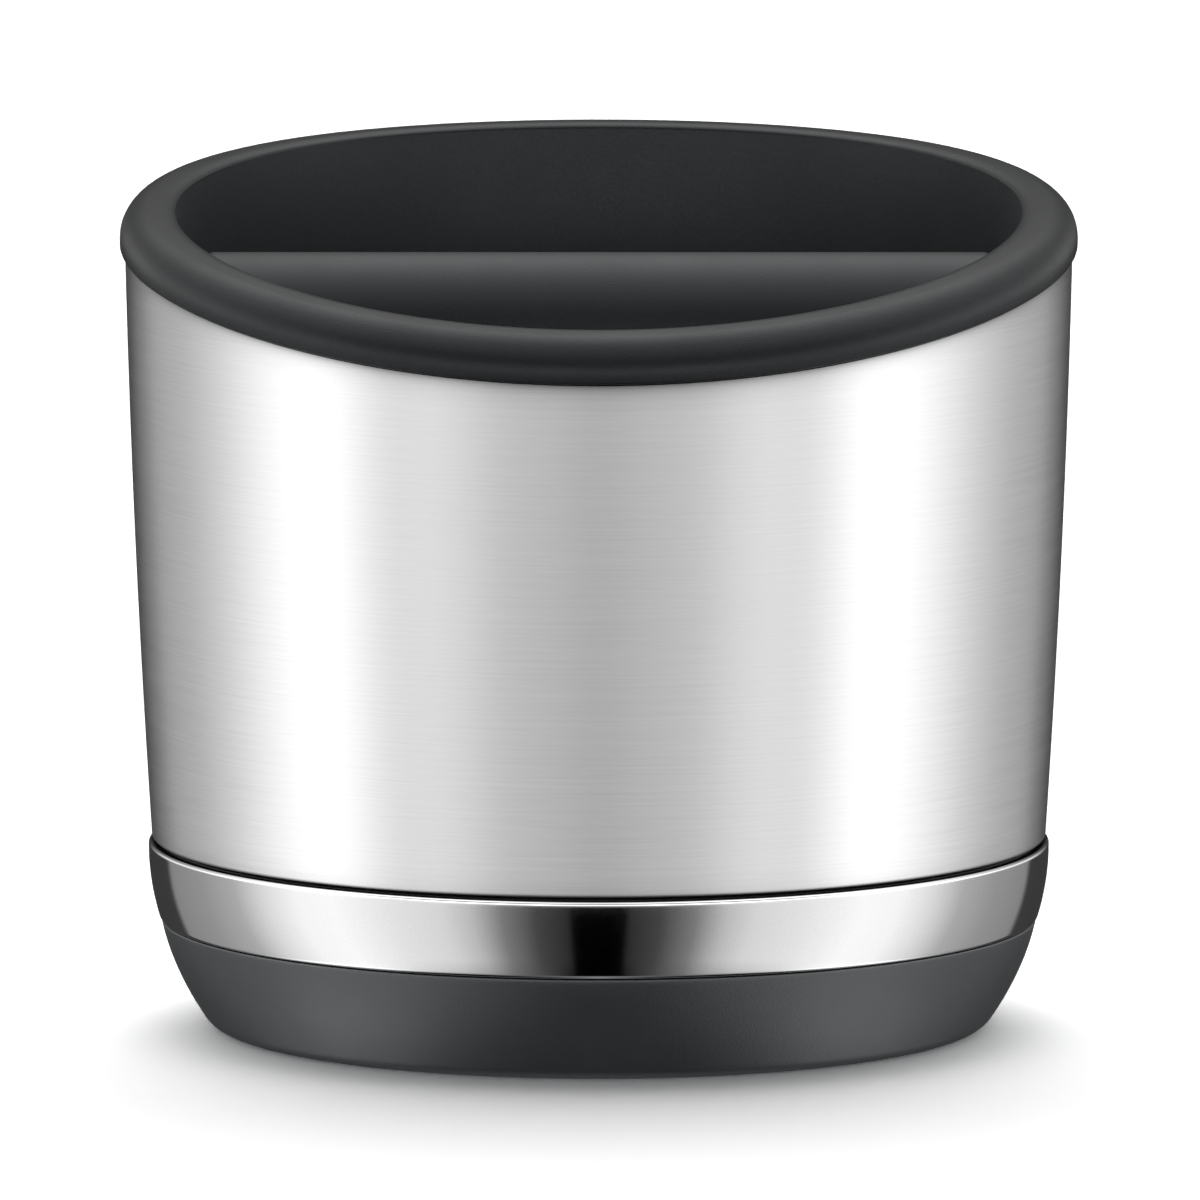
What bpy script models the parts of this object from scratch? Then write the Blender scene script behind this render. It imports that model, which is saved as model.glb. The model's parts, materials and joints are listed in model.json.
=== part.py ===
"""Espresso knock box: a round steel bin with a slanted rubber rim, a knock bar and a soft base.

Metres, +Z up. The box stands on the plane z = 0, with the middle of its base at the origin. Its front
is at -Y, its higher back edge at +Y, and the knock bar lies along X.
"""

import math

import bmesh
import bpy
from mathutils import Matrix

# Clearances and counts
GAP = 0.0003
OVERRUN = 0.002
MERGE = 0.00005
SEGMENTS = 48
BAR_SEGMENTS = 32
SMALL_SEGMENTS = 16
ARC_STEPS = 3
WALL_STEPS = 5
SMOOTH_ANGLE = 35

# Rubber rim. Its level is the height of its widest line at the sides.
RIM_OUTER_R = 0.06204
RIM_WIDTH = 0.0072
RIM_LEVEL = 0.1033
RIM_RISE = 0.00376
RIM_ROUND_DROP = 0.0002
RIM_NOSE_WIDTH = 0.0020
RIM_NOSE_DROP = 0.0007
RIM_LIP_DROP = 0.00138
RIM_LIP_ROUND = 0.0004
RIM_SKIRT_DROP = 0.0050
RIM_SLANT = 0.0078
RIM_CROWN = 0.0031
LEAN_DEPTH = 0.0383

# Steel sleeve, which the rim overhangs
SHELL_INSET = 0.00064
SHELL_TAPER = 0.00337
SHELL_BOW = 0.00043
SHELL_WALL = 0.0007
SHELL_HEM_ROUND = 0.0005
SHELL_HEM_WIDTH = 0.0030
SHADOW_LINE = 0.0004

# Polished trim ring, which stands a little proud of the sleeve's foot
RING_PROUD = 0.00045
RING_HEIGHT = 0.0103
RING_TAPER = 0.00133
RING_BOW = 0.00035
RING_WALL = 0.0009
RING_TOP_ROUND = 0.0005
RING_FOOT_ROUND = 0.00085
RING_FLANGE_WIDTH = 0.0022

# Gasket in the dark line between the sleeve and the ring
GASKET_THICK = 0.0010
GASKET_WIDTH = 0.0030

# Rubber base
BOOT_HEIGHT = 0.0137
BOOT_INSET = 0.00037
BOOT_TAPER = 0.00658
BOOT_BOW = 0.0009
BOOT_WALL = 0.0030
BOOT_EDGE_ROUND = 0.0004
BOOT_FOOT_ROUND = 0.0035
BOOT_SOLE = 0.0025
BOOT_SOLE_WIDTH = 0.0132

# Carrier inside the base
CARRIER_WALL = 0.0020
CARRIER_SHELF = 0.0014
CARRIER_RECESS = 0.0015
CARRIER_BOSS_R = 0.0060
CARRIER_BOSS_RISE = 0.0028

# Plastic inner bin
LINER_OVERHANG = 0.00015
LINER_COLLAR_GAP = 0.00075
LINER_BOW = 0.0008
LINER_WALL = 0.0020
LINER_CORNER_ROUND = 0.0060
LINER_FLANGE_COVER = 0.0040
LINER_BOSS_R = 0.0040
LINER_PILOT_ROOF = 0.0012

# Base screws
SCREW_COUNT = 4
SCREW_INSET = 0.0010
SCREW_HEAD_R = 0.0030
SCREW_HEAD_HEIGHT = 0.0020
SCREW_HEAD_ROUND = 0.0006
SCREW_HEAD_SINK = 0.0005
SCREW_SHANK_R = 0.0013
SCREW_TIP_GAP = 0.0005
SCREW_TIP = 0.0015
CROSS_WIDTH = 0.0008
CROSS_REACH = 0.0018
CROSS_DEPTH = 0.0012

# Knock bar
BAR_DEPTH = 0.0135
BAR_R = 0.0110
BAR_END_ROUND = 0.0015
BAR_LIFT_CLEARANCE = 0.00042
JOURNAL_STEP = 0.0010

# End bearings of the bar, each a hub inside the sleeve's end and a plate that drops into a cradle
PLATE_HALF_WIDTH = 0.0075
BEARING_WALL = 0.0025
HUB_STEP = 0.0003
HUB_DEPTH = 0.0060
HUB_SEAT_DEPTH = 0.0012
PLATE_THICK = 0.0020
PLATE_DROP = 0.0085
PLATE_CORNER = 0.0015

# End screws and washers of the bar
WASHER_COVER = 0.0010
WASHER_THICK = 0.0008
END_SCREW_HEAD_R = 0.0035
END_SCREW_HEAD_HEIGHT = 0.0013
END_SCREW_EDGE = 0.0004
END_SCREW_R = 0.0017
END_SCREW_LENGTH = 0.0094
SOCKET_R = 0.0015
SOCKET_DEPTH = 0.0008
SOCKET_SIDES = 6

# Cradles moulded on the inner bin
CRADLE_ARM = 0.0032
CRADLE_RISE = 0.0022
CRADLE_FLOOR = 0.0022
CRADLE_GUSSET = 0.0053

# Radii, from the rim inwards and down
RIM_OPENING_R = RIM_OUTER_R - RIM_WIDTH
SHELL_TOP_R = RIM_OUTER_R - SHELL_INSET
SHELL_FOOT_R = SHELL_TOP_R - SHELL_TAPER
RING_TOP_R = SHELL_FOOT_R + RING_PROUD
RING_FOOT_R = RING_TOP_R - RING_TAPER
RING_FLANGE_R = RING_FOOT_R - RING_FLANGE_WIDTH
BOOT_TOP_R = RING_FOOT_R - BOOT_INSET
BOOT_FOOT_R = BOOT_TOP_R - BOOT_TAPER
SOLE_INNER_R = BOOT_FOOT_R - BOOT_SOLE_WIDTH
COLLAR_R = RING_FOOT_R - RING_WALL - GAP
LINER_TOP_R = RIM_OPENING_R + LINER_OVERHANG
LINER_FOOT_R = COLLAR_R - CARRIER_WALL - LINER_COLLAR_GAP - LINER_WALL
LINER_FLANGE_R = RIM_OUTER_R - LINER_FLANGE_COVER
SCREW_CIRCLE_R = SOLE_INNER_R - CARRIER_BOSS_R - SCREW_INSET

# Heights, from the base up
BOOT_TOP_Z = BOOT_HEIGHT
RING_FOOT_Z = BOOT_TOP_Z + GAP
RING_TOP_Z = RING_FOOT_Z + RING_HEIGHT
SHELL_FOOT_Z = RING_TOP_Z + SHADOW_LINE
GASKET_TOP_Z = SHELL_FOOT_Z - GAP
COLLAR_TOP_Z = GASKET_TOP_Z - GASKET_THICK - GAP
CARRIER_TOP_Z = BOOT_SOLE + GAP + CARRIER_SHELF
CARRIER_BOSS_TOP = CARRIER_TOP_Z + CARRIER_BOSS_RISE
LINER_FLOOR_Z = RING_FOOT_Z
LINER_UNDER_Z = LINER_FLOOR_Z - LINER_WALL
LINER_BOSS_FOOT = CARRIER_BOSS_TOP + GAP
LINER_FOOT_Z = LINER_FLOOR_Z + LINER_CORNER_ROUND
PILOT_TOP_Z = LINER_FLOOR_Z - LINER_PILOT_ROOF
SCREW_HEAD_Z = CARRIER_RECESS + SCREW_HEAD_SINK
SCREW_SEAT_Z = SCREW_HEAD_Z + SCREW_HEAD_HEIGHT
RIM_TOP = RIM_LEVEL + RIM_RISE
RIM_LIP_Z = RIM_LEVEL - RIM_LIP_DROP
SHELL_TOP_Z = RIM_LIP_Z - GAP
FLANGE_TOP = RIM_TOP - RIM_NOSE_DROP - GAP
FLANGE_UNDER = FLANGE_TOP - LINER_WALL
LEAN_FULL = RIM_LEVEL - RIM_SKIRT_DROP
LEAN_FOOT = LEAN_FULL - LEAN_DEPTH
BAR_AXIS_Z = RIM_LEVEL - BAR_DEPTH


def clear_scene():
    for item in list(bpy.data.objects):
        bpy.data.objects.remove(item, do_unlink=True)


def collection(name):
    made = bpy.data.collections.new(name)
    bpy.context.scene.collection.children.link(made)
    return made


def finish(name, colour, roughness, metallic=0.0):
    made = bpy.data.materials.new(name)
    made.use_nodes = True
    made.diffuse_color = (*colour, 1.0)
    shader = made.node_tree.nodes["Principled BSDF"]
    shader.inputs["Base Color"].default_value = (*colour, 1.0)
    shader.inputs["Roughness"].default_value = roughness
    shader.inputs["Metallic"].default_value = metallic
    return made


def part(name, mesh, look):
    """A node of the knock box."""
    item = bpy.data.objects.new(name, mesh)
    item.data.materials.clear()
    item.data.materials.append(look)
    PARTS.objects.link(item)
    return item


def helper(name, mesh):
    """A shape that only cuts or is joined to a part."""
    item = bpy.data.objects.new(name, mesh)
    item.hide_render = True
    item.display_type = "WIRE"
    HELPERS.objects.link(item)
    return item


def empty(name, height):
    """A joint's place, which the pieces that move there hang on."""
    item = bpy.data.objects.new(name, None)
    item.location = (0, 0, height)
    PARTS.objects.link(item)
    return item


def hang(item, holder):
    """Parents an object that is already at its place."""
    bpy.context.view_layer.update()
    item.parent = holder
    item.matrix_parent_inverse = holder.matrix_world.inverted()


def settle(item):
    """Keeps what the modifiers make as the object's own mesh."""
    bpy.context.view_layer.update()
    graph = bpy.context.evaluated_depsgraph_get()
    mesh = bpy.data.meshes.new_from_object(item.evaluated_get(graph))
    item.modifiers.clear()
    item.data = mesh
    mesh.name = item.name


def smooth(item):
    item.data.shade_smooth()
    item.data.set_sharp_from_angle(angle=math.radians(SMOOTH_ANGLE))


def combine(item, other, operation="DIFFERENCE"):
    step = item.modifiers.new(other.name, "BOOLEAN")
    step.operation = operation
    step.solver = "EXACT"
    step.object = other


def arc(centre_r, centre_z, radius, start, end, steps=ARC_STEPS):
    """Points of a profile on a circle between two angles, in degrees up from the outward direction."""
    turns = [math.radians(start + (end - start) * i / steps) for i in range(steps + 1)]
    return [(centre_r + radius * math.cos(a), centre_z + radius * math.sin(a)) for a in turns]


def bowed(low, high, bow, share):
    """A size that goes from low to high and swells by bow half way."""
    return low + (high - low) * share + 4 * bow * share * (1 - share)


def heights(low, high, steps=WALL_STEPS):
    return [low + (high - low) * i / steps for i in range(steps + 1)]


def profile_mesh(name, profile):
    """A turned shape's profile as a mesh of edges, closed unless it starts and ends on the axis."""
    closed = profile[0][0] > 0
    edges = [(i, i + 1) for i in range(len(profile) - 1)]
    if closed:
        edges.append((len(profile) - 1, 0))
    mesh = bpy.data.meshes.new(name)
    mesh.from_pydata([(radius, 0, height) for radius, height in profile], edges, [])
    return mesh


def add_screw(item, segments):
    turn = item.modifiers.new("turn", "SCREW")
    turn.steps = segments
    turn.render_steps = segments
    turn.use_merge_vertices = True
    turn.merge_threshold = MERGE


def turned(name, profile, look, segments=SEGMENTS):
    """A solid of revolution about its own Z, from a profile that runs down its outer side."""
    item = part(name, profile_mesh(name, profile), look)
    add_screw(item, segments)
    settle(item)
    return item


def turned_helper(name, profile, segments=SMALL_SEGMENTS):
    item = helper(name, profile_mesh(name, profile))
    add_screw(item, segments)
    settle(item)
    return item


def outline_mesh(name, outline, half_thickness):
    """A flat outline, drawn in its own XY plane and thickened both ways along its own Z."""
    curve = bpy.data.curves.new(name, "CURVE")
    curve.dimensions = "2D"
    curve.fill_mode = "BOTH"
    curve.extrude = half_thickness
    line = curve.splines.new("POLY")
    line.points.add(len(outline) - 1)
    for point, (across, up) in zip(line.points, outline):
        point.co = (across, up, 0, 1)
    line.use_cyclic_u = True
    drawn = bpy.data.objects.new(name, curve)
    HELPERS.objects.link(drawn)
    bpy.context.view_layer.update()
    graph = bpy.context.evaluated_depsgraph_get()
    mesh = bpy.data.meshes.new_from_object(drawn.evaluated_get(graph))
    bpy.data.objects.remove(drawn, do_unlink=True)
    bpy.data.curves.remove(curve)
    made = bmesh.new()
    made.from_mesh(mesh)
    bmesh.ops.remove_doubles(made, verts=made.verts, dist=MERGE)
    bmesh.ops.recalc_face_normals(made, faces=made.faces)
    made.to_mesh(mesh)
    made.free()
    return mesh


def block(name, low, high):
    """A box between two corners."""
    sides = [top - bottom for bottom, top in zip(low, high)]
    middle = [(top + bottom) / 2 for bottom, top in zip(low, high)]
    made = bmesh.new()
    bmesh.ops.create_cube(made, size=1)
    bmesh.ops.scale(made, vec=sides, verts=made.verts)
    bmesh.ops.translate(made, vec=middle, verts=made.verts)
    mesh = bpy.data.meshes.new(name)
    made.to_mesh(mesh)
    made.free()
    return helper(name, mesh)


def screw_places():
    """Where the base screws stand, in the corners between the front, the back and the sides."""
    turns = [2 * math.pi * (i + 0.5) / SCREW_COUNT for i in range(SCREW_COUNT)]
    return [(SCREW_CIRCLE_R * math.cos(a), SCREW_CIRCLE_R * math.sin(a), 0) for a in turns]


def posts(name, radius, low, high):
    """One helper of upright cylinders, one at each base screw."""
    made = bmesh.new()
    for x, y, _ in screw_places():
        place = Matrix.Translation((x, y, (low + high) / 2))
        bmesh.ops.create_cone(
            made,
            cap_ends=True,
            segments=SMALL_SEGMENTS,
            radius1=radius,
            radius2=radius,
            depth=high - low,
            matrix=place,
        )
    mesh = bpy.data.meshes.new(name)
    made.to_mesh(mesh)
    made.free()
    return helper(name, mesh)


def lean_share(height):
    """How much of the rim's slant a level takes: none at the lean's foot, all from the rim's skirt up."""
    return min(max((height - LEAN_FOOT) / (LEAN_FULL - LEAN_FOOT), 0), 1)


def slant(y):
    """How far the rim stands above its level at this depth: high at the back, low at the front."""
    share = y / RIM_OUTER_R
    return RIM_SLANT * share - RIM_CROWN * share * share


def lean(item, radius_at=None):
    """Slants a turned piece as the rim is slanted, and keeps its walls on their taper."""
    for point in item.data.vertices:
        x, y, z = point.co
        share = lean_share(z)
        lifted = z + slant(y) * share
        point.co.z = lifted
        if radius_at and share > 0:
            radius = math.hypot(x, y)
            grown = (radius + radius_at(lifted) - radius_at(z)) / radius
            point.co.x = x * grown
            point.co.y = y * grown


def shell_radius(height):
    share = (height - SHELL_FOOT_Z) / (RIM_LEVEL - SHELL_FOOT_Z)
    return bowed(SHELL_FOOT_R, SHELL_TOP_R, SHELL_BOW, share)


def liner_radius(height):
    share = (height - LINER_FOOT_Z) / (FLANGE_TOP - LINER_FOOT_Z)
    return bowed(LINER_FOOT_R, LINER_TOP_R, LINER_BOW, share)


def boot_radius(height):
    return bowed(BOOT_FOOT_R, BOOT_TOP_R, BOOT_BOW, height / BOOT_TOP_Z)


def plate_reach():
    """How far out the bearings reach, to pass the rim when the bar lifts and to clear the bin's wall."""
    passage = min(RIM_OPENING_R, liner_radius(BAR_AXIS_Z - PLATE_DROP)) - BAR_LIFT_CLEARANCE
    return math.sqrt(passage * passage - PLATE_HALF_WIDTH * PLATE_HALF_WIDTH)


# Places along the bar, from its ends inwards
PLATE_OUTER_X = plate_reach()
PLATE_INNER_X = PLATE_OUTER_X - PLATE_THICK
BAR_HALF = PLATE_INNER_X - GAP
HUB_END_X = PLATE_INNER_X - HUB_DEPTH
SHOULDER_X = HUB_END_X - GAP
HUB_SEAT_X = PLATE_INNER_X - HUB_SEAT_DEPTH
ROD_END_X = HUB_SEAT_X + GAP
WASHER_X = ROD_END_X + GAP
END_SCREW_X = WASHER_X + WASHER_THICK + GAP
HUB_R = PLATE_HALF_WIDTH - HUB_STEP
ROD_R = PLATE_HALF_WIDTH - BEARING_WALL
JOURNAL_R = ROD_R - JOURNAL_STEP
WASHER_R = JOURNAL_R + WASHER_COVER


def rim_bumper():
    """Soft rim that grips the inner bin's flange, with a skirt that centres the sleeve's top edge."""
    groove_r = LINER_FLANGE_R + GAP
    groove_top = FLANGE_TOP + GAP
    groove_foot = FLANGE_UNDER - GAP
    skirt_r = shell_radius(LEAN_FULL + slant(-RIM_OUTER_R)) - SHELL_WALL - GAP
    skirt_inner_r = LINER_TOP_R + LINER_WALL + GAP
    nose_r = RIM_OPENING_R + RIM_NOSE_WIDTH
    nose_z = RIM_TOP - RIM_NOSE_DROP
    nose = arc(0, 0, 1, 180, 90, ARC_STEPS + 2)
    outer_round = RIM_RISE + RIM_ROUND_DROP
    profile = [(nose_r + RIM_NOSE_WIDTH * across, nose_z + RIM_NOSE_DROP * up) for across, up in nose]
    profile += arc(RIM_OUTER_R - outer_round, RIM_TOP - outer_round, outer_round, 90, 0, ARC_STEPS + 2)
    profile += arc(RIM_OUTER_R - RIM_LIP_ROUND, RIM_LIP_Z + RIM_LIP_ROUND, RIM_LIP_ROUND, 0, -90, 2)
    profile += [
        (skirt_r, RIM_LIP_Z),
        (skirt_r, LEAN_FULL),
        (skirt_inner_r, LEAN_FULL),
        (skirt_inner_r, groove_foot),
        (groove_r, groove_foot),
        (groove_r, groove_top),
        (LINER_TOP_R, groove_top),
    ]
    item = turned("rim_bumper", profile, RIM_RUBBER)
    lean(item)
    smooth(item)


def steel_shell():
    """Brushed sleeve with a hem turned in at its foot, cut at the top to the rim's slant."""
    hem_r = shell_radius(SHELL_FOOT_Z + SHELL_HEM_ROUND)
    hem_inner_r = SHELL_FOOT_R - SHELL_HEM_WIDTH
    levels = heights(SHELL_TOP_Z, SHELL_FOOT_Z + SHELL_HEM_ROUND)
    profile = [(shell_radius(z), z) for z in levels[:-1]]
    profile += arc(hem_r - SHELL_HEM_ROUND, levels[-1], SHELL_HEM_ROUND, 0, -90, 2)
    profile += [(hem_inner_r, SHELL_FOOT_Z), (hem_inner_r, SHELL_FOOT_Z + SHELL_WALL)]
    inner = heights(SHELL_FOOT_Z + SHELL_WALL, SHELL_TOP_Z)
    profile += [(shell_radius(z) - SHELL_WALL, z) for z in inner]
    item = turned("steel_shell", profile, BRUSHED_STEEL)
    lean(item, shell_radius)
    smooth(item)


def shell_gasket():
    """Flat ring that fills the dark line between the sleeve's hem and the carrier's collar."""
    outer_r = RING_TOP_R - RING_WALL - 2 * GAP
    inner_r = outer_r - GASKET_WIDTH
    low = GASKET_TOP_Z - GASKET_THICK
    profile = [(inner_r, GASKET_TOP_Z), (outer_r, GASKET_TOP_Z), (outer_r, low), (inner_r, low)]
    smooth(turned("shell_gasket", profile, BLACK_RUBBER))


def trim_ring():
    """Polished band with a rounded top edge and a flange turned in under the carrier's collar."""
    lean = math.atan((RING_TAPER + 4 * RING_BOW) / RING_HEIGHT)
    top = RING_TOP_Z - RING_TOP_ROUND
    foot = RING_FOOT_Z + RING_FOOT_ROUND * (1 - math.sin(lean))
    foot_round_r = RING_FOOT_R - RING_FOOT_ROUND * math.cos(lean)
    levels = heights(top, foot)
    side = [(bowed(RING_FOOT_R, RING_TOP_R, RING_BOW, (z - foot) / (top - foot)), z) for z in levels]
    inner_top = (RING_TOP_R - RING_WALL, RING_TOP_Z)
    flange_top = RING_FOOT_Z + RING_WALL
    profile = [inner_top]
    profile += arc(RING_TOP_R - RING_TOP_ROUND, top, RING_TOP_ROUND, 90, 0)[:-1]
    profile += side[:-1]
    profile += arc(foot_round_r, RING_FOOT_Z + RING_FOOT_ROUND, RING_FOOT_ROUND, -math.degrees(lean), -90)
    profile += [
        (RING_FLANGE_R, RING_FOOT_Z),
        (RING_FLANGE_R, flange_top),
        (RING_FOOT_R - RING_WALL, flange_top),
        (RING_TOP_R - RING_WALL, top),
    ]
    smooth(turned("trim_ring", profile, POLISHED_STEEL))


def base_boot():
    """Rubber base with a swelling side and a flat sole that leaves the middle of the carrier free."""
    edge_z = BOOT_TOP_Z - BOOT_EDGE_ROUND
    slope = (boot_radius(BOOT_FOOT_ROUND) - boot_radius(0)) / BOOT_FOOT_ROUND
    lean_angle = math.degrees(math.atan(slope))
    round_top = BOOT_FOOT_ROUND * (1 - math.sin(math.radians(lean_angle)))
    round_r = boot_radius(round_top) - BOOT_FOOT_ROUND * math.cos(math.radians(lean_angle))
    profile = [(BOOT_TOP_R - BOOT_WALL, BOOT_TOP_Z)]
    profile += arc(boot_radius(edge_z) - BOOT_EDGE_ROUND, edge_z, BOOT_EDGE_ROUND, 90, 0, 2)
    profile += [(boot_radius(z), z) for z in heights(edge_z, round_top)[1:-1]]
    profile += arc(round_r, BOOT_FOOT_ROUND, BOOT_FOOT_ROUND, -lean_angle, -90)
    profile += [(SOLE_INNER_R, 0), (SOLE_INNER_R, BOOT_SOLE)]
    profile += [(boot_radius(z) - BOOT_WALL, z) for z in heights(BOOT_SOLE, BOOT_TOP_Z)[:-1]]
    smooth(turned("base_boot", profile, BASE_RUBBER))


def base_carrier():
    """Plastic bowl inside the boot. Its collar carries the ring, the gasket and the sleeve."""
    neck_r = RING_FLANGE_R - GAP
    flange_over = RING_FOOT_Z + RING_WALL + GAP
    bowl_r = [(boot_radius(z) - BOOT_WALL - GAP, z) for z in heights(RING_FOOT_Z, BOOT_SOLE + GAP)]
    bowl_inner = [(r - CARRIER_WALL, z) for r, z in reversed(bowl_r) if z > CARRIER_TOP_Z]
    floor_edge = boot_radius(CARRIER_TOP_Z) - BOOT_WALL - GAP - CARRIER_WALL
    profile = [(0, CARRIER_TOP_Z), (floor_edge, CARRIER_TOP_Z)]
    profile += bowl_inner
    profile += [(COLLAR_R - CARRIER_WALL, flange_over + GAP), (COLLAR_R - CARRIER_WALL, COLLAR_TOP_Z)]
    profile += [(COLLAR_R, COLLAR_TOP_Z), (COLLAR_R, flange_over)]
    profile += [(neck_r, flange_over), (neck_r, RING_FOOT_Z)]
    profile += bowl_r
    profile += [
        (SOLE_INNER_R - GAP, BOOT_SOLE + GAP),
        (SOLE_INNER_R - GAP, CARRIER_RECESS),
        (0, CARRIER_RECESS),
    ]
    item = turned("base_carrier", profile, BLACK_PLASTIC)
    combine(item, posts("carrier_bosses", CARRIER_BOSS_R, CARRIER_RECESS + GAP, CARRIER_BOSS_TOP), "UNION")
    combine(item, posts("head_recesses", SCREW_HEAD_R + GAP, CARRIER_RECESS - OVERRUN, SCREW_SEAT_Z + GAP))
    combine(item, posts("shank_holes", SCREW_SHANK_R + GAP, CARRIER_RECESS, CARRIER_BOSS_TOP + OVERRUN))
    settle(item)
    smooth(item)


def carrier_screws():
    """Pan-head screws with crossed slots, driven up from below."""
    tip = PILOT_TOP_Z - SCREW_TIP_GAP
    profile = [(0, tip), (SCREW_SHANK_R, tip - SCREW_TIP)]
    profile += [(SCREW_SHANK_R, SCREW_SEAT_Z), (SCREW_HEAD_R, SCREW_SEAT_Z)]
    round_r = SCREW_HEAD_R - SCREW_HEAD_ROUND
    profile += arc(round_r, SCREW_HEAD_Z + SCREW_HEAD_ROUND, SCREW_HEAD_ROUND, 0, -90, 2)
    profile += [(0, SCREW_HEAD_Z)]
    one = turned_helper("carrier_screw", profile)
    low = SCREW_HEAD_Z - OVERRUN
    high = SCREW_HEAD_Z + CROSS_DEPTH
    half = CROSS_WIDTH / 2
    combine(one, block("cross_slot_x", (-CROSS_REACH, -half, low), (CROSS_REACH, half, high)))
    combine(one, block("cross_slot_y", (-half, -CROSS_REACH, low), (half, CROSS_REACH, high)))
    settle(one)
    for number, place in enumerate(screw_places(), start=1):
        item = part(f"carrier_screw_{number}", one.data, SCREW_STEEL)
        item.location = place
        smooth(item)


def wall_depth(height, half_width):
    """How far out a flat-backed piece reaches, with its corners still inside the bin's wall."""
    skin = liner_radius(height) + LINER_WALL - GAP
    return math.sqrt(skin * skin - half_width * half_width)


def cradle(side):
    """One bracket on the inner wall, with a gusset below and an open slot for the bearing's plate."""
    front = PLATE_INNER_X
    top = BAR_AXIS_Z + CRADLE_RISE
    floor = BAR_AXIS_Z - PLATE_DROP - GAP
    under = floor - CRADLE_FLOOR
    foot = under - CRADLE_GUSSET
    half = PLATE_HALF_WIDTH + GAP + CRADLE_ARM
    outline = [(front, top), (front, under)]
    outline += [(wall_depth(foot, half), foot), (wall_depth(top, half), top)]
    mesh = outline_mesh(f"cradle_{side}", outline, half)
    mesh.transform(Matrix.Rotation(math.radians(90), 4, "X"))
    body = helper(f"cradle_{side}", mesh)
    slot_half = PLATE_HALF_WIDTH + GAP
    slot = block(
        f"cradle_slot_{side}",
        (front - OVERRUN, -slot_half, floor),
        (PLATE_OUTER_X + GAP, slot_half, top + OVERRUN),
    )
    if side == "left":
        for item in (body, slot):
            item.data.transform(Matrix.Rotation(math.radians(180), 4, "Z"))
    return body, slot


def inner_liner():
    """Plastic bin with a rounded floor, a flange inside the rim, two cradles and screw bosses."""
    corner_r = LINER_FOOT_R - LINER_CORNER_ROUND
    outer_round = LINER_CORNER_ROUND + LINER_WALL
    levels = heights(LINER_FOOT_Z, LEAN_FOOT, 2) + heights(LEAN_FOOT, LEAN_FULL, 4)[1:]
    levels.append(FLANGE_UNDER)
    profile = [(0, LINER_FLOOR_Z)]
    profile += arc(corner_r, LINER_FOOT_Z, LINER_CORNER_ROUND, -90, 0)[:-1]
    profile += [(liner_radius(z), z) for z in levels + [FLANGE_TOP]]
    profile += [(LINER_FLANGE_R, FLANGE_TOP), (LINER_FLANGE_R, FLANGE_UNDER)]
    profile += [(liner_radius(z) + LINER_WALL, z) for z in reversed(levels)]
    profile += arc(corner_r, LINER_FOOT_Z, outer_round, 0, -90)[1:]
    profile += [(0, LINER_UNDER_Z)]
    item = turned("inner_liner", profile, LINER_PLASTIC)
    lean(item, liner_radius)
    for side in ("right", "left"):
        body, slot = cradle(side)
        combine(item, body, "UNION")
        combine(item, slot)
    into_floor = LINER_UNDER_Z + LINER_WALL / 2
    combine(item, posts("liner_bosses", LINER_BOSS_R, LINER_BOSS_FOOT, into_floor), "UNION")
    combine(item, posts("pilot_holes", SCREW_SHANK_R + GAP, LINER_BOSS_FOOT - OVERRUN, PILOT_TOP_Z))
    settle(item)
    smooth(item)


def along_x(item, holder):
    """Lays a piece turned about Z along the bar's axis, and hangs it on the joint there."""
    item.data.transform(Matrix.Rotation(math.radians(90), 4, "Y"))
    item.location = (0, 0, BAR_AXIS_Z)
    hang(item, holder)


def bar_rod(joint):
    """Steel core with a thinner journal and a tapped hole at each end."""
    hole_r = END_SCREW_R + GAP
    hole_end = END_SCREW_X - END_SCREW_LENGTH - GAP
    upper = [
        (0, hole_end),
        (hole_r, hole_end),
        (hole_r, ROD_END_X),
        (JOURNAL_R, ROD_END_X),
        (JOURNAL_R, SHOULDER_X),
        (ROD_R, SHOULDER_X),
    ]
    profile = upper + [(radius, -along) for radius, along in reversed(upper)]
    item = turned("bar_rod", profile, ROD_STEEL, SMALL_SEGMENTS)
    along_x(item, joint)
    smooth(item)


def bar_sleeve(joint):
    """Thick rubber tube over the rod, with a wider bore at each end for the bearing's hub."""
    bore_r = ROD_R + GAP
    seat_r = HUB_R + GAP
    end_z = BAR_HALF - BAR_END_ROUND
    outer = arc(BAR_R - BAR_END_ROUND, end_z, BAR_END_ROUND, 90, 0)
    upper = [(bore_r, SHOULDER_X), (seat_r, SHOULDER_X), (seat_r, BAR_HALF)] + outer
    profile = upper + [(radius, -along) for radius, along in reversed(upper)]
    item = turned("bar_sleeve", profile, BAR_RUBBER, BAR_SEGMENTS)
    along_x(item, joint)
    smooth(item)


def plate_outline():
    """The bearing's end plate: round above the axis, with a flat foot that keys it in its cradle."""
    corner = PLATE_HALF_WIDTH - PLATE_CORNER
    foot = PLATE_CORNER - PLATE_DROP
    outline = arc(0, 0, PLATE_HALF_WIDTH, 0, 180, 4 * ARC_STEPS)
    outline += arc(-corner, foot, PLATE_CORNER, 180, 270, 2)
    outline += arc(corner, foot, PLATE_CORNER, 270, 360, 2)
    return outline


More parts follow.
